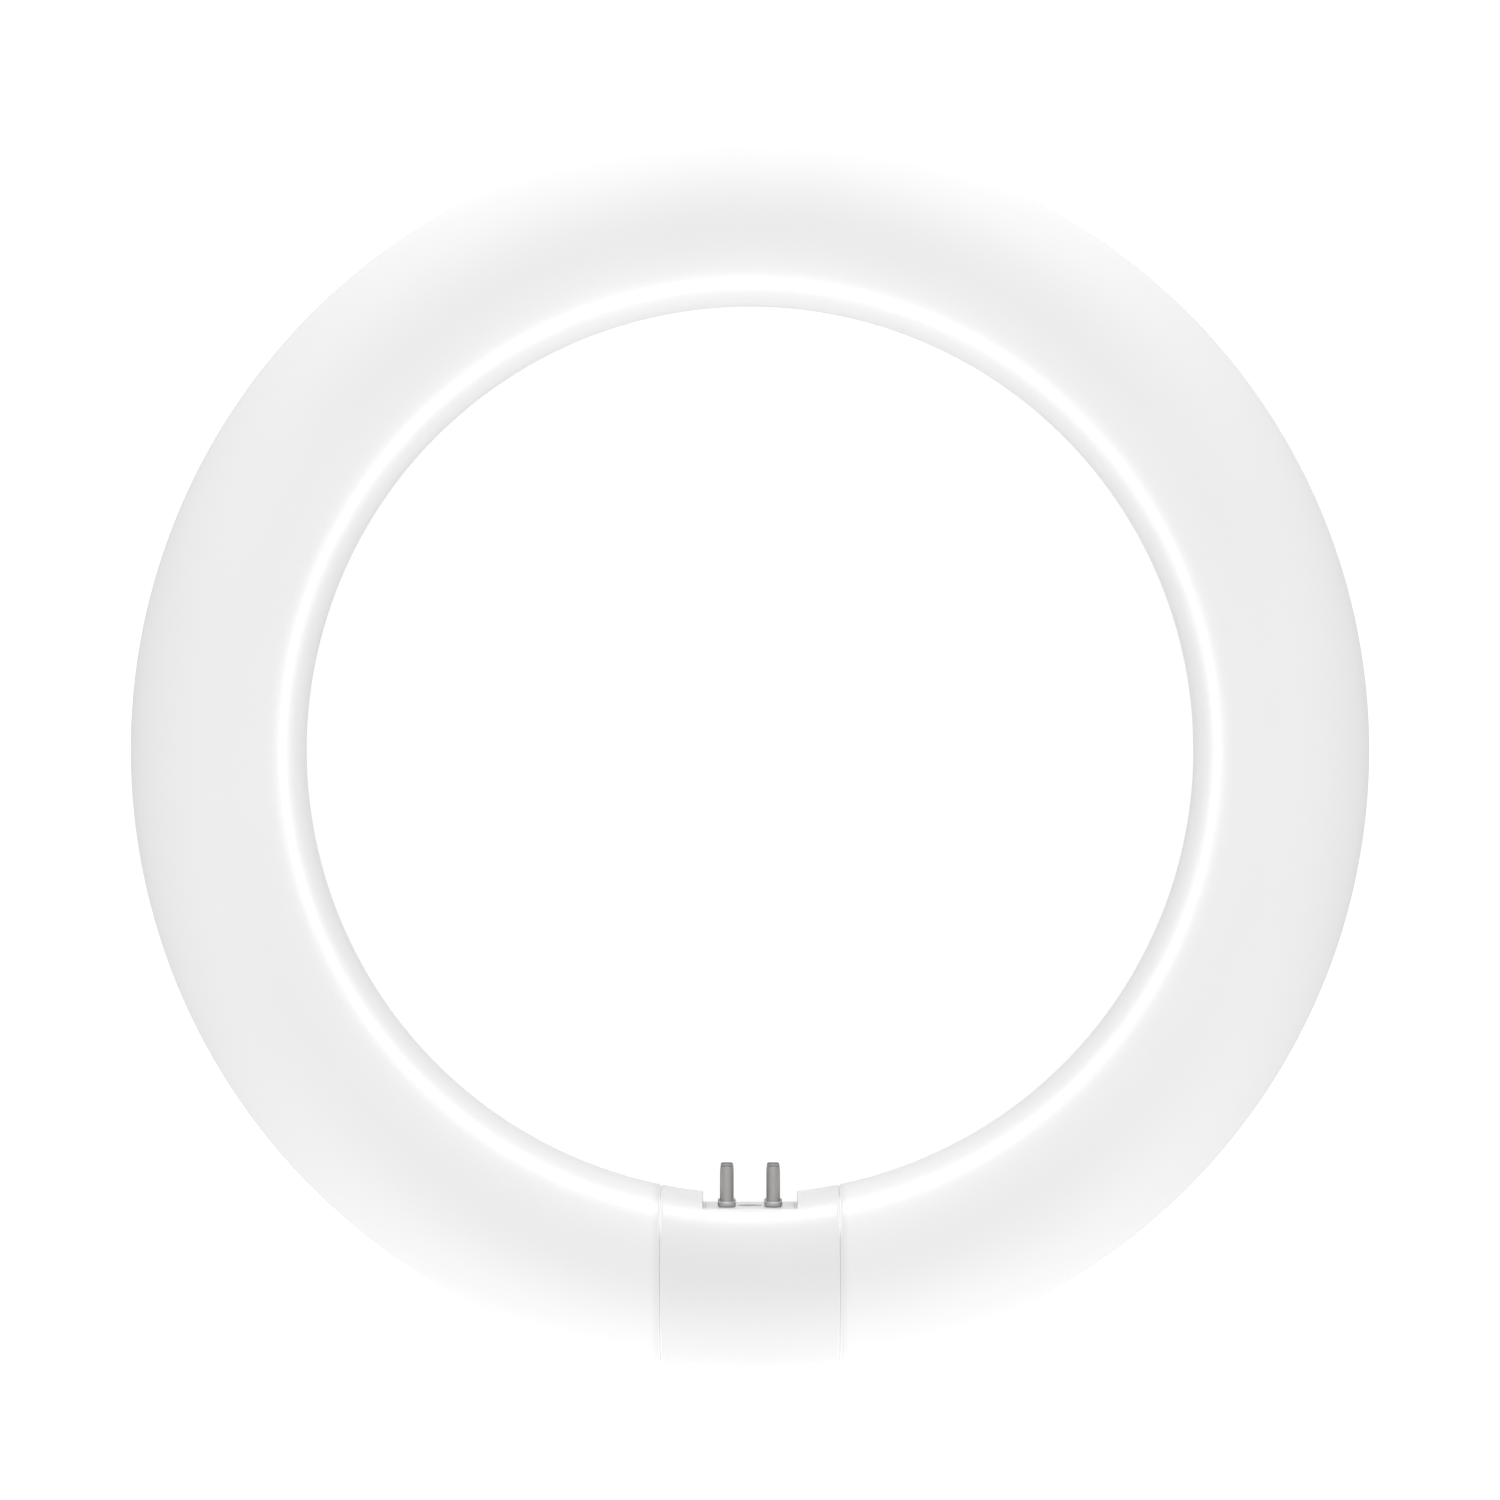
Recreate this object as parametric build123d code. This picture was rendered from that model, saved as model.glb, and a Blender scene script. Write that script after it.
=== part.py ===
from build123d import *
import math
import os

# Circular LED lamp: an opal ring tube closed by a two-part base housing with four contact pins.
# All lengths are in millimetres. The ring lies flat: its axis is Z, its centre is the origin, the light
# leaves towards +Z, and the base housing is at -Y with its pins pointing to the centre, along +Y.

# Ring tube
ring_diameter = 212.0
tube_diameter = 30.0
tube_wall = 1.3
tube_edge_round = 0.45

# Base housing: two half shells that meet on the ring's middle plane
base_length = 30.5
shell_wall = 1.6
shell_edge_round = 0.45

# Spigots: the necks of the housing that plug into the two tube ends
spigot_length = 5.0
spigot_wall = 1.3
spigot_root = 3.0
slip_clearance = 0.05

# Tongue along the outer parting line, and the two dowels beside the pin block
tongue_height = 0.8
tongue_thickness = 0.75
dowel_diameter = 1.0
dowel_length = 1.5

# Recess for the lampholder on the inner side, and the pad behind it that grips the pin block
recess_width = 16.2
recess_depth = 2.0
recess_corner_round = 0.6
recess_mouth_inset = 0.1
pad_thickness = 4.4
pad_margin = 1.8

# Pin block: a moulded insulator with a flange that sits in a groove of the pad
block_width = 15.2
block_height = 11.2
block_flange_width = 1.0
block_flange_thickness = 1.7
block_flange_depth = 1.45
key_hole_diameter = 4.2
key_hole_depth = 1.0

# Contact pins, four on a rectangle
pin_pitch_along = 7.92
pin_pitch_across = 6.35
pin_diameter = 2.35
pin_length = 7.1
pin_tip_diameter = 2.1
pin_tip_length = 1.1
pin_tip_round = 0.3
collar_diameter = 3.1
collar_height = 1.0
collar_round = 0.35
shank_diameter = 1.8
rivet_diameter = 2.6
rivet_height = 0.5
tail_diameter = 0.8
tail_length = 1.0

# Light boards: arc-shaped boards bonded to the rear wall of the tube bore
board_count = 3
board_width = 12.0
board_thickness = 1.0
board_gap = 1.0
board_end_gap = 0.8
bond_clearance = 0.02

# Light packages, evenly pitched along the middle of the boards
packages_per_board = 32
package_length = 3.5
package_width = 2.8
package_height = 0.7
package_rim = 0.45
package_window_depth = 0.12

# Driver board, and the posts and pillars that clamp it by its corners
driver_thickness = 1.2
driver_drop = 1.8
driver_setback = 1.0
driver_clearance = 0.55
corner_inset = 1.8
post_diameter = 2.6
pillar_diameter = 3.0
pip_diameter = 1.2
pip_height = 1.0

# Components on the driver board
component_gap = 0.4
component_leg = 0.6
component_leg_bend = 0.6
capacitor_diameter = 6.3
capacitor_length = 11.0
capacitor_groove_radius = 0.35
capacitor_groove_place = 1.6
capacitor_leg_pitch = 2.5
capacitor_leg_reach = 1.2
choke_diameter = 6.0
choke_height = 8.0
choke_flange = 1.2
choke_neck_diameter = 3.0
winding_diameter = 5.4
film_length = 9.0
film_thickness = 3.4
film_height = 7.0
film_corner_round = 0.8
resistor_diameter = 2.6
resistor_length = 6.0
resistor_leg_reach = 0.9
bridge_length = 4.7
bridge_width = 3.9
bridge_height = 2.4
bridge_chamfer = 0.3
chip_length = 4.9
chip_width = 3.9
chip_height = 1.5
chip_stand_off = 0.15
chip_legs_per_side = 4
chip_leg_pitch = 1.27
chip_leg_width = 0.4
chip_leg_thickness = 0.3
chip_leg_reach = 1.0

# Insulated leads, and the bare links that join one light board to the next
pin_lead_diameter = 1.6
pin_lead_bend = 1.2
pin_lead_spread = 4.0
light_lead_diameter = 1.2
light_lead_bend = 1.6
light_lead_arch = 3.2
light_lead_pitch = 3.0
link_diameter = 0.9
link_bend = 0.8
link_rise = 1.6
link_reach = 3.5
solder_pad_pitch = 8.4
solder_pad_inset = 2.0

# Sizes that follow from the ones above
tube_radius = tube_diameter / 2
ring_radius = ring_diameter / 2 - tube_radius
bore_radius = tube_radius - tube_wall
half_base = base_length / 2
shell_bore_radius = tube_radius - shell_wall
inside_shell_wall = tube_radius - shell_wall / 2
spigot_radius = bore_radius - slip_clearance
spigot_reach = half_base + spigot_length
spigot_start = half_base - spigot_root
recess_floor = -(ring_radius - tube_radius + recess_depth)
pad_back = recess_floor - pad_thickness
rivet_back = pad_back - rivet_height
tail_end = rivet_back - tail_length
corner_room = corner_inset + pillar_diameter / 2 + component_gap
back_row_length = capacitor_leg_reach + capacitor_length + component_gap + choke_diameter
resistor_room = component_leg / 2 + resistor_leg_reach
front_row_length = film_length + component_gap + resistor_length + 2 * resistor_room
driver_length = max(back_row_length, front_row_length) + 2 * corner_room
driver_top = -pin_pitch_across / 2 - driver_drop
driver_bottom = driver_top - driver_thickness
driver_front = tail_end - driver_setback
driver_reach = math.sqrt((spigot_radius - spigot_wall - driver_clearance) ** 2 - driver_bottom**2)
driver_back = -math.sqrt((ring_radius + driver_reach) ** 2 - (driver_length / 2) ** 2)
row_left = corner_room - driver_length / 2
front_row_y = driver_front - corner_inset - film_thickness / 2
middle_row_y = (driver_front + driver_back) / 2
capacitor_left = row_left + capacitor_leg_reach
capacitor_y = driver_back + component_gap / 2 + capacitor_diameter / 2
choke_x = capacitor_left + capacitor_length + component_gap + choke_diameter / 2
choke_y = driver_back + component_gap / 2 + choke_diameter / 2
resistor_left = row_left + film_length + component_gap + resistor_room
board_seat = -math.sqrt((bore_radius - bond_clearance) ** 2 - (board_width / 2) ** 2)
board_top = board_seat + board_thickness
board_inner_radius = ring_radius - board_width / 2
first_angle = math.degrees(math.asin((spigot_reach + board_end_gap) / board_inner_radius))
gap_angle = math.degrees(board_gap / board_inner_radius)
board_angle = (360 - 2 * first_angle + gap_angle) / board_count - gap_angle
beyond = 2 * tube_diameter


def box_between(low, high):
    """The box with these two opposite corners."""
    size = [b - a for a, b in zip(low, high)]
    middle = [(a + b) / 2 for a, b in zip(low, high)]
    return Pos(*middle) * Box(*size)


def post_between(x, y, bottom, top, diameter):
    """A round post along Z at this place, between two heights."""
    return Pos(x, y, (bottom + top) / 2) * Cylinder(diameter / 2, top - bottom)


def ring_solid(radius):
    """The solid ring with this tube radius about the lamp's centreline."""
    return Torus(ring_radius, radius)


def base_slab(reach):
    """The space on the base side of the ring, between the planes x = -reach and x = +reach."""
    return box_between((-reach, -ring_diameter, -beyond), (reach, 0, beyond))


def end_edges(shape, wall):
    """The outer edges of the two cut ends of a ring-shaped wall, at both sides of the base."""
    middle_of_wall = 2 * math.pi * (tube_radius - wall / 2)
    return [
        edge
        for edge in shape.edges()
        if abs(abs(edge.center().X) - half_base) < 1e-3 and edge.length > middle_of_wall
    ]


def on_ring(angle, offset, height):
    """The point at this angle in degrees from the base towards +X, this far outside the centreline."""
    radius = ring_radius + offset
    turn = math.radians(angle)
    return Vector(radius * math.sin(turn), -radius * math.cos(turn), height)


def ring_arc(section, start_angle, arc_angle):
    """A section on the XZ plane carried round the ring; both angles are counted from the base."""
    return Rot(0, 0, start_angle - 90) * revolve(section, Axis.Z, revolution_arc=arc_angle)


def wire(points, diameter, bend):
    """A round wire along straight runs that are joined by bends of this radius."""
    path = FilletPolyline(*points, radius=bend)
    start = Plane(path @ 0, z_dir=path % 0)
    return sweep(start * Circle(diameter / 2), path=path)


# Opal tube


def diffuser_tube():
    """The ring tube, cut off square to X on both sides of the base, with its cut edges rounded."""
    tube = ring_solid(tube_radius) - ring_solid(bore_radius) - base_slab(half_base)
    return fillet(end_edges(tube, tube_wall), tube_edge_round)


# Base housing


def stepped_block(clearance):
    """The pin block's body and flange, grown by a clearance on every side that seats."""
    half_x = block_width / 2 + clearance
    half_z = block_height / 2 + clearance
    body = box_between((-half_x, pad_back, -half_z), (half_x, recess_floor, half_z))
    flange_x = half_x + block_flange_width
    flange_z = half_z + block_flange_width
    flange_front = recess_floor - block_flange_depth + clearance
    flange_back = recess_floor - block_flange_depth - block_flange_thickness - clearance
    flange = box_between((-flange_x, flange_back, -flange_z), (flange_x, flange_front, flange_z))
    return body + flange


def recess_cut():
    """The lampholder's slot, cut along Z, with its mouth rounded out to a circle just inside the ring."""
    slot = Pos(0, recess_floor / 2) * Rectangle(recess_width, -recess_floor)
    opening = Circle(ring_radius - tube_radius - recess_mouth_inset) + slot
    mouth_corners = [
        corner
        for corner in opening.vertices()
        if abs(abs(corner.X) - recess_width / 2) < 1e-3 and corner.Y > recess_floor + recess_depth / 4
    ]
    return extrude(fillet(mouth_corners, recess_corner_round), beyond, both=True)


def base_blank():
    """Both half shells in one: the wall, the two spigots, the pad, and the recess with its pocket."""
    wall = (ring_solid(tube_radius) - ring_solid(shell_bore_radius)) & base_slab(half_base)
    wall = fillet(end_edges(wall, shell_wall), shell_edge_round)
    spigots = ring_solid(spigot_radius) - ring_solid(spigot_radius - spigot_wall)
    spigots = spigots & (base_slab(spigot_reach) - base_slab(spigot_start))
    pad_x = recess_width / 2 + pad_margin
    pad_z = block_height / 2 + pad_margin
    pad = box_between((-pad_x, pad_back, -pad_z), (pad_x, recess_floor, pad_z))
    pad = pad & ring_solid(inside_shell_wall)
    return wall + spigots + pad - recess_cut() - stepped_block(slip_clearance)


def outer_tongue(clearance):
    """The lip along the outer parting line: at no clearance it is the tongue, otherwise its groove."""
    depth = tongue_height + clearance
    rise = tongue_height / 2 if clearance == 0 else 0
    inner = ring_radius + shell_bore_radius - clearance
    outer = ring_radius + shell_bore_radius + tongue_thickness + clearance
    band = Cylinder(outer, depth + rise) - Cylinder(inner, depth + rise)
    reach = spigot_start - slip_clearance + clearance
    return (Pos(0, 0, (rise - depth) / 2) * band) & base_slab(reach)


def dowels(clearance):
    """The two dowels beside the pin block: at no clearance they are the dowels, otherwise their holes."""
    flange_side = block_width / 2 + slip_clearance + block_flange_width
    x = (flange_side + recess_width / 2 + pad_margin) / 2
    y = recess_floor - pad_thickness / 2
    top = dowel_length if clearance == 0 else 0
    bottom = -dowel_length - clearance
    diameter = dowel_diameter + 2 * clearance
    return post_between(-x, y, bottom, top, diameter) + post_between(x, y, bottom, top, diameter)


def corner_places():
    """The x and y of the four corners where the driver board is clamped."""
    x = driver_length / 2 - corner_inset
    front = driver_front - corner_inset
    back = driver_back + corner_inset
    return [(-x, front), (x, front), (-x, back), (x, back)]


def base_front_shell(blank):
    """The half shell on the light side, with the tongue, the dowels and the four pillars."""
    upper_half = box_between((-beyond, -ring_diameter, 0), (beyond, 0, beyond))
    shell = (blank & upper_half) + outer_tongue(0) + dowels(0)
    pillar_foot = driver_top + slip_clearance
    socket_top = driver_top + pip_height + slip_clearance
    socket_diameter = pip_diameter + 4 * slip_clearance
    for x, y in corner_places():
        pillar = post_between(x, y, pillar_foot, tube_radius, pillar_diameter)
        shell = shell + (pillar & ring_solid(inside_shell_wall))
        shell = shell - post_between(x, y, pillar_foot, socket_top, socket_diameter)
    return shell


def base_rear_shell(blank):
    """The half shell on the back, with the tongue's groove, the dowel holes and the four posts."""
    lower_half = box_between((-beyond, -ring_diameter, -beyond), (beyond, 0, 0))
    shell = (blank & lower_half) - outer_tongue(slip_clearance) - dowels(slip_clearance)
    for x, y in corner_places():
        post = post_between(x, y, -tube_radius, driver_bottom, post_diameter)
        shell = shell + (post & ring_solid(inside_shell_wall))
        shell = shell + post_between(x, y, driver_bottom, driver_top + pip_height, pip_diameter)
    return shell


# Pin block and pins


def pin_places():
    """Name, x and z of each pin."""
    x = pin_pitch_along / 2
    z = pin_pitch_across / 2
    return [("front_left", -x, z), ("front_right", x, z), ("rear_left", -x, -z), ("rear_right", x, -z)]


def at_pin(x, z):
    """The place of a pin on the recess floor, with its own Z towards the ring's centre."""
    return Plane(origin=(x, recess_floor, z), x_dir=(1, 0, 0), z_dir=(0, 1, 0)).location


def pin_block():
    """The insulator, with its four shank holes and the shallow round hole between the pins."""
    block = stepped_block(0)
    shank_hole = Pos(0, 0, -pad_thickness / 2) * Cylinder(shank_diameter / 2, pad_thickness)
    for _, x, z in pin_places():
        block = block - at_pin(x, z) * shank_hole
    key_hole = Pos(0, 0, -key_hole_depth / 2) * Cylinder(key_hole_diameter / 2, key_hole_depth)
    return block - at_pin(0, 0) * key_hole


def contact_pin(x, z):
    """One turned pin: tapered tip, collar on the block, shank through it, rivet head and thin tail."""
    rivet_foot = -pad_thickness - rivet_height
    tail_foot = rivet_foot - tail_length
    outline = Polyline(
        (0, tail_foot),
        (tail_diameter / 2, tail_foot),
        (tail_diameter / 2, rivet_foot),
        (rivet_diameter / 2, rivet_foot),
        (rivet_diameter / 2, -pad_thickness),
        (shank_diameter / 2, -pad_thickness),
        (shank_diameter / 2, 0),
        (collar_diameter / 2, 0),
        (collar_diameter / 2, collar_height),
        (pin_diameter / 2, collar_height),
        (pin_diameter / 2, pin_length - pin_tip_length),
        (pin_tip_diameter / 2, pin_length),
        (0, pin_length),
        close=True,
    )
    pin = revolve(make_face(Plane.XZ * outline), Axis.Z)
    pin = fillet(pin.faces().sort_by(Axis.Z)[-1].edges(), pin_tip_round)
    collar_rims = [
        edge for edge in pin.edges().filter_by(GeomType.CIRCLE) if abs(edge.radius - collar_diameter / 2) < 1e-6
    ]
    return at_pin(x, z) * fillet(collar_rims, collar_round)


# Light boards


def board_start(index):
    """The angle from the base at which a light board begins."""
    return first_angle + index * (board_angle + gap_angle)


def light_board(index):
    """One arc of the flat ring board."""
    section = Pos(ring_radius, board_seat + board_thickness / 2) * Rectangle(board_width, board_thickness)
    return ring_arc(Plane.XZ * section, board_start(index), board_angle)


def light_packages(index):
    """The row of packages on one board, each a case with a shallow window over the light source."""
    window_size = (package_length - 2 * package_rim, package_width - 2 * package_rim)
    window = Box(*window_size, package_window_depth)
    window_height = (package_height - package_window_depth) / 2
    package = Box(package_length, package_width, package_height) - Pos(0, 0, window_height) * window
    package = Pos(ring_radius, 0, board_top + package_height / 2) * Rot(0, 0, 90) * package
    pitch_angle = (board_angle + gap_angle) / packages_per_board
    first_turn = board_start(index) - gap_angle / 2 + pitch_angle / 2 - 90
    turns = [first_turn + place * pitch_angle for place in range(packages_per_board)]
    return Compound([Rot(0, 0, turn) * package for turn in turns])


def board_bond():
    """The bed of silicone between the boards and the round wall of the bore."""
    bore = Circle(bore_radius - bond_clearance)
    under_board = Pos(0, board_seat - beyond / 2) * Rectangle(beyond, beyond)
    section = Plane.XZ * Pos(ring_radius, 0) * (bore & under_board)
    return ring_arc(section, first_angle, 360 - 2 * first_angle)


def board_links(index):
    """The two bare wire links from one board to the next."""
    joint = board_start(index + 1) - gap_angle / 2
    reach = math.degrees(link_reach / ring_radius)
    link_top = board_top + link_rise
    links = []
    for offset in (-solder_pad_pitch / 2, solder_pad_pitch / 2):
        route = [
            on_ring(joint - reach, offset, board_top),
            on_ring(joint - reach, offset, link_top),
            on_ring(joint + reach, offset, link_top),
            on_ring(joint + reach, offset, board_top),
        ]
        links.append(wire(route, link_diameter, link_bend))
    return Compound(links)


# Driver


def driver_board():
    """The driver's board, with a hole in each corner for the pip of the post below it."""
    board = box_between(
        (-driver_length / 2, driver_back, driver_bottom), (driver_length / 2, driver_front, driver_top)
    )
    hole_diameter = pip_diameter + 2 * slip_clearance
    for x, y in corner_places():
        board = board - post_between(x, y, driver_bottom, driver_top, hole_diameter)
    return board


def bulk_capacitor():
    """The electrolytic can lying along the board, with its crimp groove and two bent legs."""
    can_radius = capacitor_diameter / 2
    height = driver_top + can_radius
    can = Pos(0, 0, capacitor_length / 2) * Cylinder(can_radius, capacitor_length)
    groove = Torus(can_radius, capacitor_groove_radius)
    can = can - Pos(0, 0, capacitor_groove_place) * groove
    capacitor = Pos(capacitor_left, capacitor_y, height) * Rot(0, 90, 0) * can
    leg_x = capacitor_left - capacitor_leg_reach + component_leg / 2
    for side in (-1, 1):
        leg_y = capacitor_y + side * capacitor_leg_pitch / 2
        route = [
            (capacitor_left + component_leg, leg_y, height),
            (leg_x, leg_y, height),
            (leg_x, leg_y, driver_top),
        ]
        capacitor = capacitor + wire(route, component_leg, component_leg_bend)
    return capacitor


def choke_core():
    """The ferrite drum: two flanges and the neck between them."""
    flange = Cylinder(choke_diameter / 2, choke_flange)
    neck = Cylinder(choke_neck_diameter / 2, choke_height - 2 * choke_flange)
    shift = (choke_height - choke_flange) / 2
    drum = Pos(0, 0, -shift) * flange + neck + Pos(0, 0, shift) * flange
    return Pos(choke_x, choke_y, driver_top + choke_height / 2) * drum


def choke_winding():
    """The winding that fills the drum between its flanges."""
    winding_height = choke_height - 2 * choke_flange
    coil = Cylinder(winding_diameter / 2, winding_height) - Cylinder(choke_neck_diameter / 2, winding_height)
    return Pos(choke_x, choke_y, driver_top + choke_height / 2) * coil


def film_capacitor():
    """The dipped film capacitor that stands along the board's front edge."""
    body = Box(film_length, film_thickness, film_height)
    body = fillet(body.edges().filter_by(Axis.Z), film_corner_round)
    return Pos(row_left + film_length / 2, front_row_y, driver_top + film_height / 2) * body


def fusible_resistor():
    """The axial resistor beside the film capacitor, with its two bent legs."""
    height = driver_top + resistor_diameter / 2
    resistor_right = resistor_left + resistor_length
    body = Rot(0, 90, 0) * Cylinder(resistor_diameter / 2, resistor_length)
    resistor = Pos((resistor_left + resistor_right) / 2, front_row_y, height) * body
    for end, side in ((resistor_left, -1), (resistor_right, 1)):
        route = [
            (end - side * component_leg, front_row_y, height),
            (end + side * resistor_leg_reach, front_row_y, height),
            (end + side * resistor_leg_reach, front_row_y, driver_top),
        ]
        resistor = resistor + wire(route, component_leg, component_leg_bend)
    return resistor


def bridge_rectifier():
    """The rectifier on the underside of the board, left of the middle."""
    body = Box(bridge_length, bridge_width, bridge_height)
    body = chamfer(body.faces().sort_by(Axis.Z)[0].edges(), bridge_chamfer)
    return Pos(-bridge_length, middle_row_y, driver_bottom - bridge_height / 2) * body


def driver_chip():
    """The control chip on the underside of the board, right of the middle, with a row of legs each side."""
    top = driver_bottom - chip_stand_off
    chip = Pos(chip_length, middle_row_y, top - chip_height / 2) * Box(chip_length, chip_width, chip_height)
    for side in (-1, 1):
        inner = middle_row_y + side * chip_width / 4
        outer = middle_row_y + side * (chip_width / 2 + chip_leg_reach)
        for place in range(chip_legs_per_side):
            x = chip_length + (place - (chip_legs_per_side - 1) / 2) * chip_leg_pitch
            low = (x - chip_leg_width / 2, min(inner, outer), driver_bottom - chip_leg_thickness)
            high = (x + chip_leg_width / 2, max(inner, outer), driver_bottom)
            chip = chip + box_between(low, high)
    return chip


# Leads


def pin_lead(x, z):
    """The lead from a pin to the driver board; the two front leads step outwards, clear of the rear ones."""
    pad_y = driver_front - pin_lead_diameter / 2 - slip_clearance
    outwards = math.copysign(pin_lead_spread, x)
    route = [(x, rivet_back, z), (x, pad_y, z)]
    if z > 0:
        x = x + outwards
        route.append((x, pad_y, z))
    route.append((x, pad_y, driver_top))
    return wire(route, pin_lead_diameter, pin_lead_bend)


def light_lead(side):
    """One of the two leads from the driver board, through the spigot at +X, to the first light board."""
    pad_x = driver_length / 2 - light_lead_diameter
    pad_y = middle_row_y - side * light_lead_pitch / 2
    landing = first_angle + math.degrees(solder_pad_inset / ring_radius)
    offset = side * solder_pad_pitch / 2
    route = [
        (pad_x, pad_y, driver_top),
        (pad_x, pad_y, driver_top + light_lead_arch),
        on_ring(landing, offset, driver_top),
        on_ring(landing, offset, board_top),
    ]
    return wire(route, light_lead_diameter, light_lead_bend)


# Every piece under its own name

blank = base_blank()
pieces = {
    "diffuser_tube": diffuser_tube(),
    "base_front_shell": base_front_shell(blank),
    "base_rear_shell": base_rear_shell(blank),
    "pin_block": pin_block(),
    "board_bond": board_bond(),
    "driver_board": driver_board(),
    "bulk_capacitor": bulk_capacitor(),
    "choke_core": choke_core(),
    "choke_winding": choke_winding(),
    "film_capacitor": film_capacitor(),
    "fusible_resistor": fusible_resistor(),
    "bridge_rectifier": bridge_rectifier(),
    "driver_chip": driver_chip(),
    "light_lead_negative": light_lead(-1),
    "light_lead_positive": light_lead(1),
}
for place, x, z in pin_places():
    pin = contact_pin(x, z)
    pieces[f"pin_{place}"] = pin
    pieces[f"pin_lead_{place}"] = pin_lead(x, z) - pin
for index in range(board_count):
    pieces[f"light_board_{index + 1}"] = light_board(index)
    pieces[f"light_packages_{index + 1}"] = light_packages(index)
for index in range(board_count - 1):
    pieces[f"board_links_{index + 1}"] = board_links(index)

os.makedirs("parts", exist_ok=True)
for name, piece in pieces.items():
    export_step(piece, f"parts/{name}.step")
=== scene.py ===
import math

import bpy
import numpy as np
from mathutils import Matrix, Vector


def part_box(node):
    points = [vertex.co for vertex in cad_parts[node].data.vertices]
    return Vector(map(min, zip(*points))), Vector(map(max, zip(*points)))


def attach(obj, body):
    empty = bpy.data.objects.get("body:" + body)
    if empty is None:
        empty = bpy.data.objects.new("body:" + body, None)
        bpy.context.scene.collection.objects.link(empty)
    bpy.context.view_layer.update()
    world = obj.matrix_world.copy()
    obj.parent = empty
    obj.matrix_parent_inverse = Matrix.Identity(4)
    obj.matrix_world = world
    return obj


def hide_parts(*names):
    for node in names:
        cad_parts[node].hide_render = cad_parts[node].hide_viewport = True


# The looks of a circular LED lamp: an opal ring tube, a moulded base housing and four nickel pins.
# Lengths are in metres. The ring lies flat round the Z axis, and its base housing is at -Y.

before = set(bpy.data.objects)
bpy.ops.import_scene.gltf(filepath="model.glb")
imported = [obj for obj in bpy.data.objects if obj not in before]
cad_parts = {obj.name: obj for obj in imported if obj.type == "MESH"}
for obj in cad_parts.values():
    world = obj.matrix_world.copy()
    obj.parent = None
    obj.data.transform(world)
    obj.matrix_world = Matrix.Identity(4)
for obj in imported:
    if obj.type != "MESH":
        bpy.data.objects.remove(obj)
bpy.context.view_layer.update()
mm = 0.001

# Sizes of the tube
tube_radius = 15.0 * mm
ring_radius = 91.0 * mm
tube_wall = 1.3 * mm
tube_edge_round = 0.45 * mm
face_margin = 0.05 * mm
half_base = 15.25 * mm

# Sizes of the inner pieces that their finishes follow
track_inner = 3.4 * mm
track_outer = 5.3 * mm
track_edge = 0.15 * mm
window_depth = 0.12 * mm
terminal_height = 0.15 * mm
winding_pitch = 0.3 * mm
capacitor_leg_reach = 1.2 * mm
resistor_leg_reach = 1.2 * mm
resistor_band_places = (0.18, 0.34, 0.5, 0.8)
resistor_band_width = 0.45 * mm
chip_half_width = 1.95 * mm
edge_blur = 0.05 * mm

# Sizes of the pins and the pin block's round hole that their finishes, painted shade and painted
# highlight follow
painted_tip_shade_reach = 0.25 * mm
pin_tip_blur = 0.1 * mm
collar_height = 1.0 * mm
key_hole_radius = 2.1 * mm
tool_ring_pitch = 0.12 * mm
tool_ring_depth = 0.01 * mm

# Tones of the plastics and the metals
white = (1, 1, 1)
black = (0, 0, 0)
opal_level = 0.815
housing_level = 0.77
housing_white = (1, 0.985, 0.99)
insulator_level = 0.745
insulator_grain_tint = 0.02
insulator_roughness = 0.45
nickel_light = (0.47, 0.46, 0.45)
nickel_dark = (0.42, 0.415, 0.405)
nickel_roughness = 0.42
nickel_gloss_change = 0.15
tin_colour = (0.74, 0.73, 0.71)
tin_roughness = 0.28

# The moulded skin: how clouded, how glossy and how deep its grain is
cloud_scale = 35
cloud_tint = 0.03
plastic_roughness = 0.4
plastic_ior = 1.46
gloss_change = 0.06
skin_depth = 0.05 * mm

# Painted light and shade on the bent plastic, the pins and the pin block's hole, as shares of their
# own tone
painted_light_and_shade_share = 0.045
painted_light_and_shade_waves = 0.5
painted_seam_shade = 0.1
painted_seam_shade_length = 1.7 * mm
painted_edge_light_share = 0.12
painted_outer_edge_light = 0.1
painted_edge_highlight = 0.25
painted_tip_shade = 0.45
painted_collar_highlight = 0.16
painted_hole_shade = 0.13

# How far from a cut the painted light on the edges starts to fade, and where it is gone
painted_edge_light_start = 0.2 * tube_edge_round
painted_edge_light_end = 0.8 * tube_edge_round

# Where the centre light's gloss starts and ends, from the centreline in tube radii; there the cuts'
# edges get a painted highlight
gloss_band_inner = (-0.92, -0.84)
gloss_band_outer = (-0.66, -0.42)

# How far a face turns to its side before it starts to count, and counts in full
turned_up = (0.4, 0.8)
stripe_turn = (0.85, 0.88)

# The driver board's tracks: cells of noise to the metre, level lines and their edges
driver_track_cells = 160
driver_track_levels = 9
driver_track_edge = (0.16, 0.22)

# How finely the tube is drawn: rows along the ring, columns round the tube
tube_rows = 420
tube_columns = 96
edge_rows = 6

# Camera and stage
camera_height = 923.0 * mm
camera_lens = 129.3
sensor_width = 36.0
camera_reach = 20.0
floor_height = -tube_radius
floor_half_size = 3.0
floor_centre_guard = 1e-6

# Light, as radiance where 1 shows as plain white
sky_level = 0.84
sky_front_gain = 1.1
sky_side_loss = 0.3
floor_albedo = 0.55
floor_glow = 0.62
floor_dim_glow = 0.14
floor_full_glow = 2.0
pin_card_glow = 0.5
pin_card_x = 10.0 * mm
pin_card_y = -66.0 * mm
pin_card_blur = 4.0 * mm
floor_front_gain = 0.65
floor_gain_start = 85.0 * mm
floor_gain_end = 130.0 * mm
gloss_light_power = 0.093
fill_light_power = 0.03
centre_light_radius = 6.0 * mm
centre_light_height = -1.0 * mm


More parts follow.
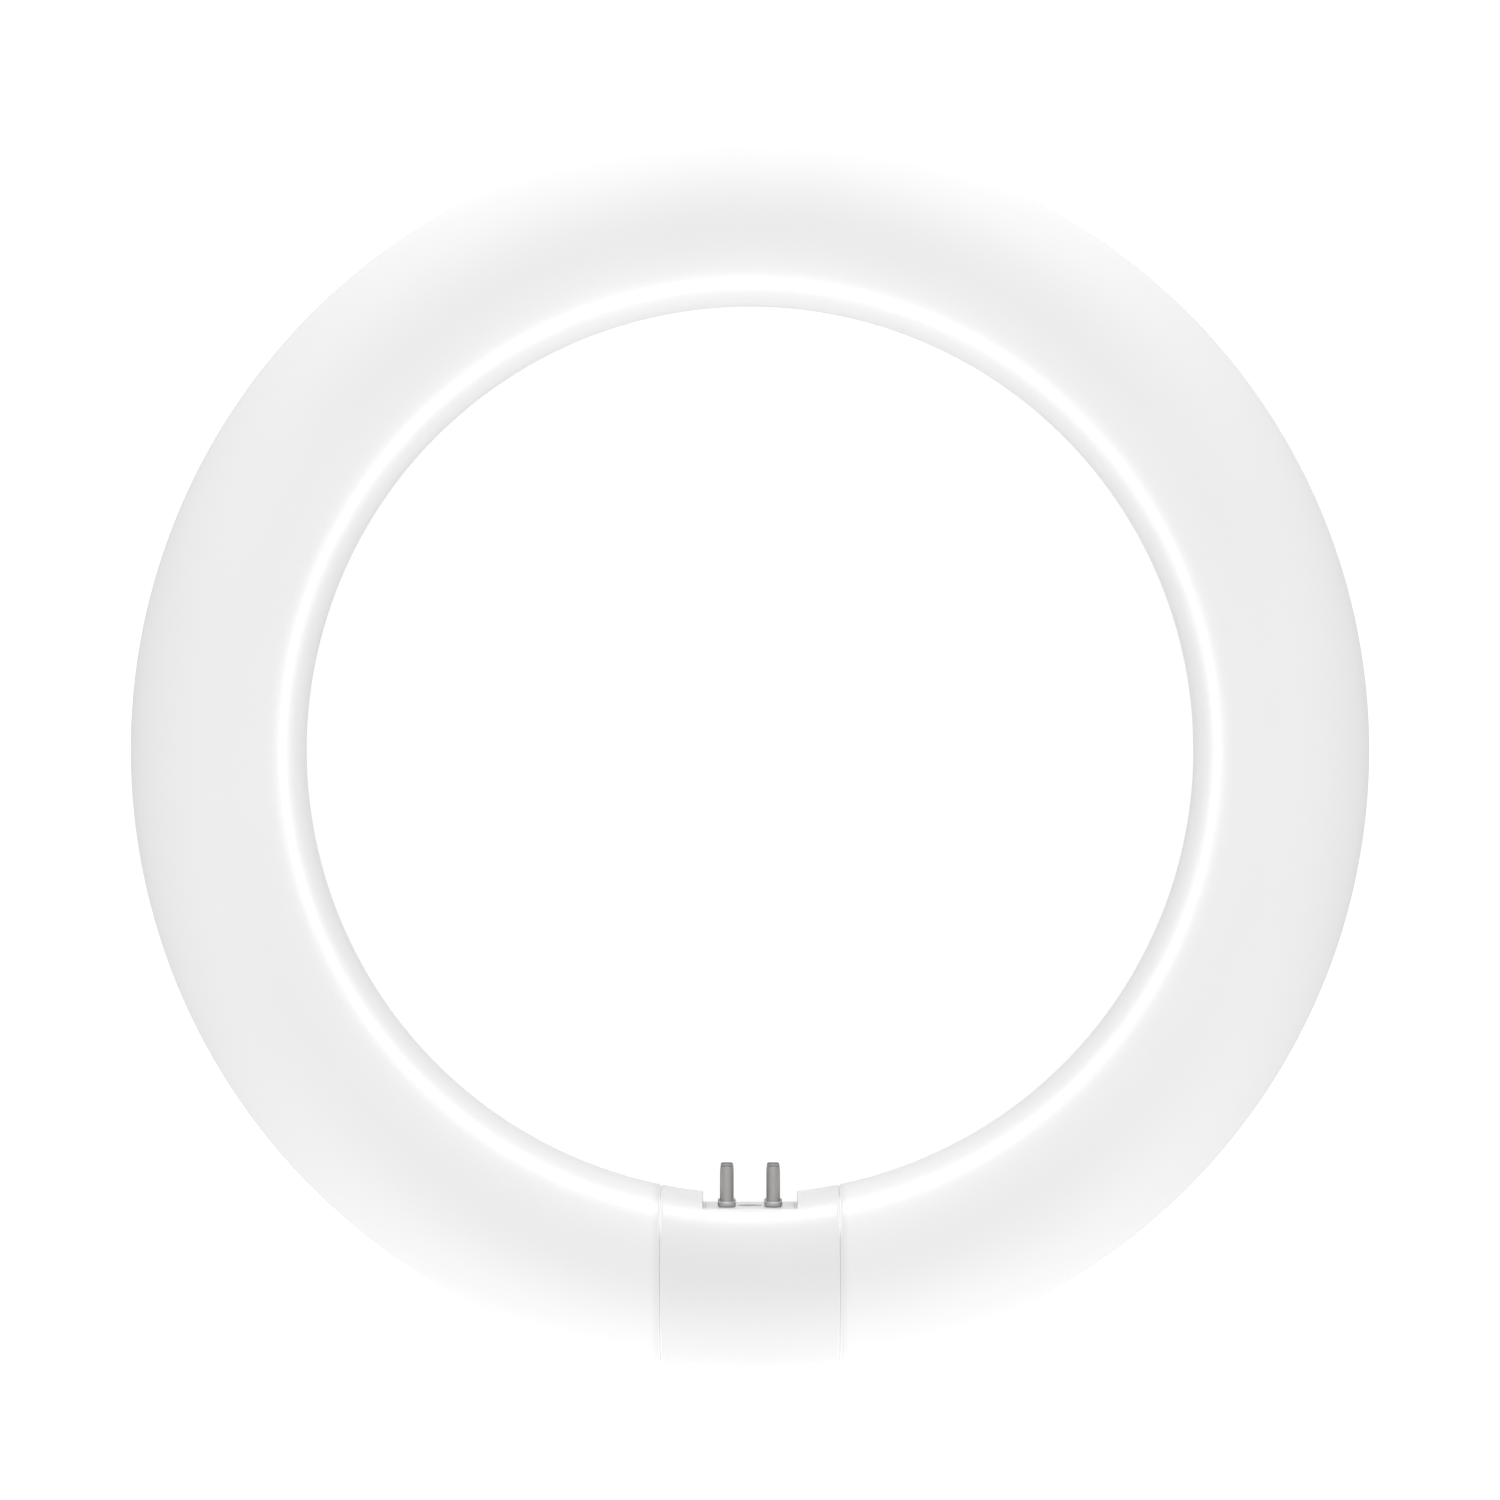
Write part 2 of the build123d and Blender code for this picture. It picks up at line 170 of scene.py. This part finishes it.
class Number:
    """A number socket of a node tree. Arithmetic on it adds Math nodes to the tree."""

    def __init__(self, tree, socket):
        self.tree = tree
        self.socket = socket

    def math(self, operation, *values):
        node = self.tree.nodes.new("ShaderNodeMath")
        node.operation = operation
        for slot, value in zip(node.inputs, values):
            if isinstance(value, Number):
                self.tree.links.new(value.socket, slot)
            else:
                slot.default_value = value
        return Number(self.tree, node.outputs[0])

    def __add__(self, other):
        return self.math("ADD", self, other)

    def __radd__(self, other):
        return self.math("ADD", other, self)

    def __sub__(self, other):
        return self.math("SUBTRACT", self, other)

    def __rsub__(self, other):
        return self.math("SUBTRACT", other, self)

    def __mul__(self, other):
        return self.math("MULTIPLY", self, other)

    def __rmul__(self, other):
        return self.math("MULTIPLY", other, self)

    def __truediv__(self, other):
        return self.math("DIVIDE", self, other)

    def __pow__(self, other):
        return self.math("POWER", self, other)

    def __abs__(self):
        return self.math("ABSOLUTE", self)


class Nodes:
    """A node tree with one way to add any node: its type, its settings, then its sockets."""

    def __init__(self, tree):
        self.tree = tree
        tree.nodes.clear()

    def add(self, kind, settings=None, **sockets):
        node = self.tree.nodes.new(kind)
        for name, value in (settings or {}).items():
            setattr(node, name, value)
        for name, value in sockets.items():
            slot = node.inputs[name.replace("_", " ")]
            if isinstance(value, Number):
                self.tree.links.new(value.socket, slot)
            elif isinstance(value, bpy.types.NodeSocket):
                self.tree.links.new(value, slot)
            else:
                slot.default_value = value
        return node

    def number(self, node, output):
        return Number(self.tree, node.outputs[output])

    def position(self):
        """The place on the object, in metres."""
        return self.add("ShaderNodeTexCoord").outputs["Object"]

    def split(self, vector):
        """The three parts of a vector."""
        node = self.add("ShaderNodeSeparateXYZ", Vector=vector)
        return [self.number(node, axis) for axis in "XYZ"]

    def facing(self):
        """How far the surface faces along X, Y and Z, each from -1 to 1."""
        return self.split(self.add("ShaderNodeNewGeometry").outputs["Normal"])

    def noise(self, vector, scale, detail):
        """Noise from 0 to 1 with this many cells to the metre."""
        node = self.add("ShaderNodeTexNoise", Vector=vector, Scale=scale, Detail=detail)
        return self.number(node, "Fac")

    def band(self, value, low, high):
        """1 where the value lies between low and high, and 0 outside."""
        return self.step(value, low - edge_blur, low) - self.step(value, high, high + edge_blur)

    def step(self, value, low, high):
        """From 0 to 1 while the value goes from low to high, with soft ends."""
        node = self.add(
            "ShaderNodeMapRange",
            {"interpolation_type": "SMOOTHSTEP"},
            Value=value,
            From_Min=low,
            From_Max=high,
        )
        return self.number(node, "Result")

    def relief(self, height, strength, depth):
        """The surface's direction as this height tilts it, for a shader's Normal."""
        node = self.add("ShaderNodeBump", Height=height, Strength=strength, Distance=depth)
        return node.outputs["Normal"]

    def blend(self, factor, first, second):
        """The colour between two colours, each fixed or from a socket, at this factor."""
        # A Mix node has its two colours at inputs 6 and 7, and the blended one at output 2.
        node = self.add("ShaderNodeMix", {"data_type": "RGBA"})
        self.tree.links.new(factor.socket, node.inputs["Factor"])
        for slot, colour in zip(node.inputs[6:8], (first, second)):
            if isinstance(colour, bpy.types.NodeSocket):
                self.tree.links.new(colour, slot)
            else:
                slot.default_value = (*colour, 1)
        return node.outputs[2]


def new_material(name):
    material = bpy.data.materials.new(name)
    material.use_nodes = True
    return material, Nodes(material.node_tree)


def finish_material(nodes, surface):
    nodes.add("ShaderNodeOutputMaterial", Surface=surface.outputs[0])


def moulded_plastic(name, light, dark, roughness, grain, relief):
    """A moulded surface: faint cloudy tint, a fine uneven gloss and a very shallow skin texture."""
    material, nodes = new_material(name)
    place = nodes.position()
    cloud = nodes.noise(place, scale=cloud_scale, detail=2)
    skin = nodes.noise(place, scale=grain, detail=3)
    normal = nodes.relief(skin, strength=relief, depth=skin_depth)
    surface = nodes.add(
        "ShaderNodeBsdfPrincipled",
        Base_Color=nodes.blend(cloud, dark, light),
        Roughness=roughness + (skin - 0.5) * gloss_change,
        Normal=normal,
        IOR=plastic_ior,
    )
    finish_material(nodes, surface)
    return material


def lead_insulation(name, light, dark):
    """The soft insulation of a lead, in its own colour."""
    return moulded_plastic(name, light, dark, roughness=0.4, grain=1500, relief=0.2)


def ring_plastic_with_painted_light(name, level, full_colour, grain):
    """Plastic bent to a ring, with painted light and shade that follow the ring and its cuts.

    Painted light makes the wall paler outside the ring's centreline, and painted shade makes it
    darker inside it, as the sine of the distance from the centreline, and more so at +Y and -Y
    than at the sides. At the cuts beside the base, painted shade darkens the tube's last part.
    The rounded edges of both parts get painted light there, and a painted highlight where the
    gloss of the centre light crosses them.
    """
    material, nodes = new_material(name)
    place = nodes.position()
    x, y, _ = nodes.split(place)
    distance = (x * x + y * y) ** 0.5
    offset = (distance - ring_radius) / tube_radius
    # Painted light and shade: paler outside the ring's centreline, darker inside it, most at +Y and
    # -Y.
    wave = offset.math("SINE", offset * (2 * math.pi * painted_light_and_shade_waves))
    painted_light_and_shade = wave * (y / distance) * (y / distance)
    past_cut = abs(x) - half_base
    at_base = 1 - nodes.step(y, -half_base, 0)
    # Painted shade on the tube's last part beside each cut, where the tube meets the housing.
    near_cut = 1 - nodes.step(past_cut, 0, painted_seam_shade_length)
    painted_seam_shade_mask = at_base * near_cut * nodes.step(past_cut, 0, edge_blur)
    # Painted light on the rounded edges at the cuts.
    pale = at_base * (1 - nodes.step(abs(past_cut), painted_edge_light_start, painted_edge_light_end))
    cloud = nodes.noise(place, scale=cloud_scale, detail=2)
    # The centre light's gloss band, where the edges' painted light is a painted highlight.
    lit = nodes.step(offset, *gloss_band_inner) - nodes.step(offset, *gloss_band_outer)
    outer = nodes.step(offset, 0, 1)
    painted_edge_light_level = painted_edge_light_share + outer * painted_outer_edge_light + lit * painted_edge_highlight
    # The tint is the cloudy tone plus the painted light and shade, then the edges' painted light.
    tint = 1 + painted_light_and_shade * painted_light_and_shade_share - painted_seam_shade_mask * painted_seam_shade + (cloud - 0.5) * cloud_tint
    tint = tint + pale * painted_edge_light_level
    skin = nodes.noise(place, scale=grain, detail=3)
    normal = nodes.relief(skin, strength=0.1, depth=skin_depth)
    surface = nodes.add(
        "ShaderNodeBsdfPrincipled",
        Base_Color=nodes.blend(tint * level, black, full_colour),
        Roughness=plastic_roughness + (skin - 0.5) * gloss_change,
        Normal=normal,
        IOR=plastic_ior,
    )
    finish_material(nodes, surface)
    return material


def insulator_plastic(face):
    """The pin block's moulding, with painted shade inside the round hole behind its face."""
    material, nodes = new_material("insulator_plastic")
    place = nodes.position()
    x, y, z = nodes.split(place)
    from_middle = (x * x + z * z) ** 0.5
    middle = 1 - nodes.step(from_middle, key_hole_radius, key_hole_radius + edge_blur)
    inside_hole = middle * (1 - nodes.step(y, face - edge_blur, face - edge_blur / 2))
    skin = nodes.noise(place, scale=2000, detail=3)
    grain_tint = (skin - 0.5) * insulator_grain_tint
    # Painted shade inside the round hole.
    level = insulator_level * (1 - inside_hole * painted_hole_shade) + grain_tint
    normal = nodes.relief(skin, strength=0.2, depth=skin_depth)
    surface = nodes.add(
        "ShaderNodeBsdfPrincipled",
        Base_Color=nodes.blend(level, black, white),
        Roughness=insulator_roughness + (skin - 0.5) * gloss_change,
        Normal=normal,
    )
    finish_material(nodes, surface)
    return material


def satin_nickel(foot, tip):
    """Plated turned pins: fine tool rings along Y, a painted highlight on the collar at the foot
    and painted shade at the tip.
    """
    material, nodes = new_material("satin_nickel")
    place = nodes.position()
    along = nodes.split(place)[1]
    rings = along.math("SINE", along * (2 * math.pi / tool_ring_pitch))
    cloud = nodes.noise(place, scale=900, detail=3)
    # Painted shade on the last part of each pin's tip.
    painted_tip_shade_mask = nodes.step(along, tip - painted_tip_shade_reach, tip - painted_tip_shade_reach + pin_tip_blur)
    # Painted highlight on the upper half of each pin's collar.
    collar = nodes.band(along, foot + collar_height / 2, foot + collar_height)
    painted_collar_highlight_colour = [part * (1 + painted_collar_highlight) for part in nickel_light]
    painted_tip_shade_colour = [part * (1 - painted_tip_shade) for part in nickel_dark]
    turned = nodes.blend(cloud, nickel_dark, nickel_light)
    with_painted_collar_highlight = nodes.blend(collar, turned, painted_collar_highlight_colour)
    normal = nodes.relief(rings, strength=0.12, depth=tool_ring_depth)
    surface = nodes.add(
        "ShaderNodeBsdfPrincipled",
        Base_Color=nodes.blend(painted_tip_shade_mask, with_painted_collar_highlight, painted_tip_shade_colour),
        Roughness=nickel_roughness + (cloud - 0.5) * nickel_gloss_change,
        Normal=normal,
        Metallic=1.0,
    )
    finish_material(nodes, surface)
    return material


def part_tinned(nodes, tin, body, roughness, height, depth):
    """A component's shader: bare tin where the mask is 1, its body's colour and gloss elsewhere."""
    normal = nodes.relief(height, strength=0.5, depth=depth)
    return nodes.add(
        "ShaderNodeBsdfPrincipled",
        Base_Color=nodes.blend(tin, body, tin_colour),
        Metallic=tin,
        Roughness=roughness + tin * (tin_roughness - roughness),
        Normal=normal,
    )


def tinned_wire():
    """Tinned copper wire: bright, a little cloudy, with a faintly uneven coat of tin."""
    material, nodes = new_material("tinned_wire")
    cloud = nodes.noise(nodes.position(), scale=1500, detail=2)
    normal = nodes.relief(cloud, strength=0.3, depth=0.03 * mm)
    surface = nodes.add(
        "ShaderNodeBsdfPrincipled",
        Base_Color=nodes.blend(cloud, (0.68, 0.67, 0.65), tin_colour),
        Roughness=tin_roughness + (cloud - 0.5) * 0.1,
        Normal=normal,
        Metallic=1.0,
    )
    finish_material(nodes, surface)
    return material


def metal_core_board():
    """White solder mask over two raised tracks on the light side, brushed aluminium elsewhere."""
    material, nodes = new_material("metal_core_board")
    place = nodes.position()
    x, y, z = nodes.split(place)
    bare = 1 - nodes.step(nodes.facing()[2], *turned_up)
    distance = (x * x + y * y) ** 0.5
    from_middle = abs(distance - ring_radius)
    track = nodes.step(from_middle, track_inner, track_inner + track_edge)
    track = track - nodes.step(from_middle, track_outer, track_outer + track_edge)
    rings = nodes.add("ShaderNodeCombineXYZ", X=distance, Y=z)
    brushing = nodes.noise(rings.outputs["Vector"], scale=9000, detail=2)
    mask_colour = nodes.blend(track, (0.80, 0.80, 0.79), (0.85, 0.85, 0.83))
    metal_colour = nodes.blend(brushing, (0.55, 0.56, 0.57), (0.68, 0.69, 0.70))
    height = track + bare * brushing * 0.2
    normal = nodes.relief(height, strength=0.5, depth=skin_depth)
    surface = nodes.add(
        "ShaderNodeBsdfPrincipled",
        Base_Color=nodes.blend(bare, mask_colour, metal_colour),
        Metallic=bare,
        Roughness=0.42 + (brushing - 0.5) * 0.1,
        Normal=normal,
    )
    finish_material(nodes, surface)
    return material


def light_package(foot, rim):
    """A white case from foot to rim, with a yellow phosphor window on top and tin at its foot."""
    material, nodes = new_material("light_package")
    place = nodes.position()
    height = nodes.split(place)[2]
    up = nodes.step(nodes.facing()[2], *turned_up)
    window = up * (1 - nodes.step(height, rim - window_depth, rim - window_depth / 2))
    terminal_top = foot + terminal_height
    tin = (1 - up) * (1 - nodes.step(height, terminal_top, terminal_top + edge_blur))
    grain = nodes.noise(place, scale=4000, detail=2)
    case = nodes.blend(grain, (0.80, 0.80, 0.78), (0.84, 0.84, 0.82))
    phosphor = nodes.blend(grain, (0.80, 0.60, 0.10), (0.86, 0.70, 0.20))
    filled = nodes.blend(window, case, phosphor)
    surface = part_tinned(nodes, tin, filled, roughness=0.45, height=grain, depth=0.02 * mm)
    finish_material(nodes, surface)
    return material


def driver_laminate():
    """Green solder mask over tracks, which follow a slow noise's level lines, and bare edges."""
    material, nodes = new_material("driver_laminate")
    place = nodes.position()
    face = nodes.step(abs(nodes.facing()[2]), *turned_up)
    level = nodes.noise(place, scale=driver_track_cells, detail=0) * driver_track_levels
    line = abs(level.math("FRACT", level) - 0.5)
    track = face * (1 - nodes.step(line, *driver_track_edge))
    weave = nodes.noise(place, scale=2500, detail=2)
    edge = nodes.blend(weave, (0.50, 0.46, 0.26), (0.62, 0.58, 0.36))
    mask = nodes.blend(track, (0.015, 0.14, 0.05), (0.03, 0.24, 0.08))
    normal = nodes.relief(track + weave * 0.1, strength=0.6, depth=0.04 * mm)
    surface = nodes.add(
        "ShaderNodeBsdfPrincipled",
        Base_Color=nodes.blend(face, edge, mask),
        Roughness=0.75 - face * 0.4,
        Normal=normal,
    )
    finish_material(nodes, surface)
    return material


def capacitor_sleeve(low, high):
    """A dark shrink sleeve with a pale stripe along it, a bare end at +X and tinned legs at -X."""
    material, nodes = new_material("capacitor_sleeve")
    place = nodes.position()
    along = nodes.split(place)[0]
    can_start = low[0] + capacitor_leg_reach
    legs = 1 - nodes.step(along, can_start - edge_blur, can_start)
    can_end = nodes.step(along, high[0] - 2 * edge_blur, high[0] - edge_blur)
    stripe = nodes.step(nodes.facing()[1], *stripe_turn)
    skin = nodes.noise(place, scale=1200, detail=2)
    sleeve = nodes.blend(stripe, (0.02, 0.02, 0.025), (0.42, 0.43, 0.45))
    bare = legs + can_end
    surface = part_tinned(nodes, bare, sleeve, roughness=0.34, height=skin, depth=0.04 * mm)
    finish_material(nodes, surface)
    return material


def resistor_coating(low, high):
    """A grey-green lacquer with dark bands round it, and tinned legs at both ends."""
    material, nodes = new_material("resistor_coating")
    place = nodes.position()
    along = nodes.split(place)[0]
    body_start = low[0] + resistor_leg_reach
    body_end = high[0] - resistor_leg_reach
    legs = 1 - nodes.step(along, body_start - edge_blur, body_start)
    legs = legs + nodes.step(along, body_end, body_end + edge_blur)
    bands = 0
    for share in resistor_band_places:
        band_start = body_start + share * (body_end - body_start)
        bands = nodes.band(along, band_start, band_start + resistor_band_width) + bands
    skin = nodes.noise(place, scale=1600, detail=2)
    lacquer = nodes.blend(bands, (0.34, 0.42, 0.36), (0.09, 0.04, 0.02))
    surface = part_tinned(nodes, legs, lacquer, roughness=0.38, height=skin, depth=skin_depth)
    finish_material(nodes, surface)
    return material


def black_moulding(name, low, high):
    """A matt black moulded case, with tinned legs beyond half its width from its middle line."""
    material, nodes = new_material(name)
    place = nodes.position()
    across = abs(nodes.split(place)[1] - (low[1] + high[1]) / 2)
    legs = nodes.step(across, chip_half_width, chip_half_width + edge_blur)
    grain = nodes.noise(place, scale=3500, detail=3)
    case = nodes.blend(grain, (0.018, 0.018, 0.019), (0.035, 0.035, 0.036))
    surface = part_tinned(nodes, legs, case, roughness=0.62, height=grain, depth=skin_depth)
    finish_material(nodes, surface)
    return material


def copper_winding():
    """Enamelled copper wire wound turn on turn round Z, under a clear varnish."""
    material, nodes = new_material("copper_winding")
    place = nodes.position()
    height = nodes.split(place)[2]
    turns = abs(height.math("SINE", height * (math.pi / winding_pitch)))
    cloud = nodes.noise(place, scale=900, detail=2)
    normal = nodes.relief(turns, strength=0.8, depth=winding_pitch / 2)
    surface = nodes.add(
        "ShaderNodeBsdfPrincipled",
        Base_Color=nodes.blend(cloud, (0.50, 0.17, 0.06), (0.66, 0.27, 0.10)),
        Metallic=0.85,
        Roughness=0.3 + (cloud - 0.5) * 0.12,
        Normal=normal,
        Coat_Weight=0.5,
    )
    finish_material(nodes, surface)
    return material


# Meshes


def grid_mesh(name, points, material):
    """A closed mesh from a grid of points that wraps round in both directions."""
    rows, columns = points.shape[:2]
    index = np.arange(rows * columns).reshape(rows, columns)
    right = np.roll(index, -1, axis=1)
    below = np.roll(index, -1, axis=0)
    corner = np.roll(right, -1, axis=0)
    faces = np.stack([index, below, corner, right], axis=-1).reshape(-1, 4)
    mesh = bpy.data.meshes.new(name)
    mesh.from_pydata(points.reshape(-1, 3).tolist(), [], faces.tolist())
    mesh.materials.append(material)
    mesh.shade_smooth()
    piece = bpy.data.objects.new(name, mesh)
    bpy.context.scene.collection.objects.link(piece)
    return piece


def opal_tube(material):
    """The ring tube with its wall, cut square to X at the base.

    A point is turned about Z by an angle counted from the base, at the ring's radius plus the
    tube's radius times the cosine of the angle round the tube, and raised by that radius times its
    sine. At a cut, the angle about Z is the one whose point lies in the cut's plane: the arcsine of
    the plane's distance over the point's own distance from the axis. The outer wall runs from one
    cut to the other, a quarter circle rounds the edge into the end face, and the inner wall runs
    back. The rows crowd towards the cuts as a cosine does, so the smooth shading turns the corner
    there only.
    """
    around = np.linspace(0, 2 * math.pi, tube_columns, endpoint=False)[None, :]
    along = (1 - np.cos(np.linspace(0, math.pi, tube_rows)))[:, None] / 2
    quarter = np.linspace(0, math.pi / 2, edge_rows + 1)[1:, None]
    inner_radius = tube_radius - tube_wall
    round_radius = tube_radius - tube_edge_round * (1 - np.cos(quarter))
    round_depth = tube_edge_round * (1 - np.sin(quarter))
    face_radius = np.array([[round_radius.min() - face_margin], [inner_radius + face_margin]])
    end_radius = np.concatenate([round_radius, face_radius])
    end_depth = np.concatenate([round_depth, np.zeros((2, 1))])

    def cut_turn(depth, radius):
        return np.arcsin((half_base + depth) / (ring_radius + radius * np.cos(around)))

    outer_start = cut_turn(tube_edge_round, tube_radius)
    inner_start = cut_turn(0, inner_radius)
    end_turn = cut_turn(end_depth, end_radius)
    outer_turn = outer_start + (2 * math.pi - 2 * outer_start) * along
    inner_turn = inner_start + (2 * math.pi - 2 * inner_start) * along[::-1]
    turns = np.concatenate([outer_turn, 2 * math.pi - end_turn, inner_turn, end_turn[::-1]])
    outer_radius = np.full((tube_rows, 1), tube_radius)
    bore_radius = np.full((tube_rows, 1), inner_radius)
    radii = np.concatenate([outer_radius, end_radius, bore_radius, end_radius[::-1]])
    distance = ring_radius + radii * np.cos(around)
    points = np.stack(
        [distance * np.sin(turns), -distance * np.cos(turns), radii * np.sin(around)], axis=-1
    )
    return grid_mesh("opal_tube", points, material)


# Stage, light and camera


def floor_plane():
    """A wide pale floor whose own glow keeps it white, more so towards +Y and -Y of the lamp.

    In reflections, a soft card of light glows on it below the pins as well.
    """
    material, nodes = new_material("studio_floor")
    x, y, _ = nodes.split(nodes.position())
    distance = (x * x + y * y + floor_centre_guard) ** 0.5
    share = abs(y) / distance
    outside = nodes.step(distance, floor_gain_start, floor_gain_end)
    path = nodes.add("ShaderNodeLightPath")
    seen = nodes.number(path, "Is Camera Ray")
    card_across = 1 - nodes.step(abs(x), pin_card_x, pin_card_x + pin_card_blur)
    card_along = 1 - nodes.step(y, pin_card_y, pin_card_y + pin_card_blur)
    card = card_across * card_along * (1 - outside)
    mirrored = nodes.number(path, "Is Glossy Ray") * card
    glow = floor_dim_glow + floor_front_gain * share * share * outside
    glow = glow + seen * (floor_glow - floor_dim_glow)
    glow = glow + mirrored * pin_card_glow
    surface = nodes.add(
        "ShaderNodeBsdfPrincipled",
        Base_Color=(floor_albedo, floor_albedo, floor_albedo, 1),
        Roughness=0.9,
        Specular_IOR_Level=0.0,
        Emission_Color=nodes.blend(glow / floor_full_glow, black, white),
        Emission_Strength=floor_full_glow,
    )
    finish_material(nodes, surface)
    mesh = bpy.data.meshes.new("studio_floor")
    size = floor_half_size
    corners = [(-size, -size, floor_height), (size, -size, floor_height)]
    corners += [(size, size, floor_height), (-size, size, floor_height)]
    mesh.from_pydata(corners, [], [(0, 1, 2, 3)])
    mesh.materials.append(material)
    floor = bpy.data.objects.new("studio_floor", mesh)
    bpy.context.scene.collection.objects.link(floor)


def studio_sky():
    """A surround that lights more from +Y and -Y than from +X and -X, and looks plain white."""
    world = bpy.data.worlds.new("studio")
    world.use_nodes = True
    bpy.context.scene.world = world
    nodes = Nodes(world.node_tree)
    x, y, _ = nodes.split(nodes.add("ShaderNodeTexCoord").outputs["Generated"])
    seen = nodes.number(nodes.add("ShaderNodeLightPath"), "Is Camera Ray")
    light = sky_level + sky_front_gain * y * y - sky_side_loss * x * x
    level = light + seen * (1 - light)
    background = nodes.add("ShaderNodeBackground", Color=(1, 1, 1, 1), Strength=level)
    nodes.add("ShaderNodeOutputWorld", Surface=background.outputs[0])


def centre_light(name, power, receivers):
    """A round lamp in the middle of the ring that lights these pieces alone."""
    light = bpy.data.lights.new(name, "POINT")
    light.energy = power
    light.shadow_soft_size = centre_light_radius
    lamp = bpy.data.objects.new(name, light)
    lamp.location = (0, 0, centre_light_height)
    lamp.visible_camera = False
    bpy.context.scene.collection.objects.link(lamp)
    lit = bpy.data.collections.new(name)
    for piece in receivers:
        lit.objects.link(piece)
    lamp.light_linking.receiver_collection = lit
    return lamp


def photo_camera():
    """The camera on the ring's axis, straight above it, with +Y up in the picture."""
    data = bpy.data.cameras.new("photo_camera")
    data.lens = camera_lens
    data.sensor_width = sensor_width
    data.clip_end = camera_reach
    camera = bpy.data.objects.new("photo_camera", data)
    camera.location = (0, 0, camera_height)
    bpy.context.scene.collection.objects.link(camera)
    bpy.context.scene.camera = camera


# The tube and the finishes of the other pieces


opal = ring_plastic_with_painted_light("opal_plastic", opal_level, white, grain=900)
housing = ring_plastic_with_painted_light("housing_plastic", housing_level, housing_white, grain=1400)
recess_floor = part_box("pin_block")[1][1]
pin_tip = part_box("pin_front_left")[1][1]
insulator = insulator_plastic(recess_floor)
nickel = satin_nickel(recess_floor, pin_tip)

tube = opal_tube(opal)
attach(tube, "root")
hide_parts("diffuser_tube")

silicone = moulded_plastic(
    "bond_silicone",
    light=(0.80, 0.80, 0.78),
    dark=(0.71, 0.71, 0.69),
    roughness=0.55,
    grain=250,
    relief=0.6,
)
ferrite = moulded_plastic(
    "ferrite",
    light=(0.05, 0.048, 0.046),
    dark=(0.03, 0.029, 0.028),
    roughness=0.6,
    grain=3000,
    relief=0.5,
)
film_coating = moulded_plastic(
    "film_coating",
    light=(0.36, 0.10, 0.04),
    dark=(0.28, 0.07, 0.03),
    roughness=0.25,
    grain=450,
    relief=0.5,
)
lead_black = lead_insulation("lead_black", light=(0.03, 0.03, 0.03), dark=(0.02, 0.02, 0.02))
lead_red = lead_insulation("lead_red", light=(0.55, 0.03, 0.02), dark=(0.47, 0.02, 0.015))
lead_white = lead_insulation("lead_white", light=(0.80, 0.80, 0.78), dark=(0.76, 0.76, 0.74))
finishes = {
    "base_front_shell": housing,
    "base_rear_shell": housing,
    "pin_block": insulator,
    "board_bond": silicone,
    "driver_board": driver_laminate(),
    "bulk_capacitor": capacitor_sleeve(*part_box("bulk_capacitor")),
    "choke_core": ferrite,
    "choke_winding": copper_winding(),
    "film_capacitor": film_coating,
    "fusible_resistor": resistor_coating(*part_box("fusible_resistor")),
    "bridge_rectifier": black_moulding("rectifier_case", *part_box("bridge_rectifier")),
    "driver_chip": black_moulding("chip_case", *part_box("driver_chip")),
    "light_lead_negative": lead_black,
    "light_lead_positive": lead_red,
}
for place in ("front_left", "front_right", "rear_left", "rear_right"):
    finishes[f"pin_{place}"] = nickel
    finishes[f"pin_lead_{place}"] = lead_white
board_finish = metal_core_board()
package_low, package_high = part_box("light_packages_1")
package_finish = light_package(package_low[2], package_high[2])
wire_finish = tinned_wire()
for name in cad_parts:
    if name.startswith("light_board_"):
        finishes[name] = board_finish
    elif name.startswith("light_packages_"):
        finishes[name] = package_finish
    elif name.startswith("board_links_"):
        finishes[name] = wire_finish
for name, material in finishes.items():
    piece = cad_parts[name]
    piece.data.materials.clear()
    piece.data.materials.append(material)

# The scene


floor_plane()
studio_sky()
white_pieces = [tube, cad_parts["base_front_shell"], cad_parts["base_rear_shell"]]
gloss_light = centre_light("centre_gloss", gloss_light_power, white_pieces)
gloss_light.visible_diffuse = False
filled_pieces = [*white_pieces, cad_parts["pin_block"]]
fill_light = centre_light("centre_fill", fill_light_power, filled_pieces)
fill_light.visible_glossy = False
photo_camera()
bpy.context.scene.view_settings.view_transform = "Standard"
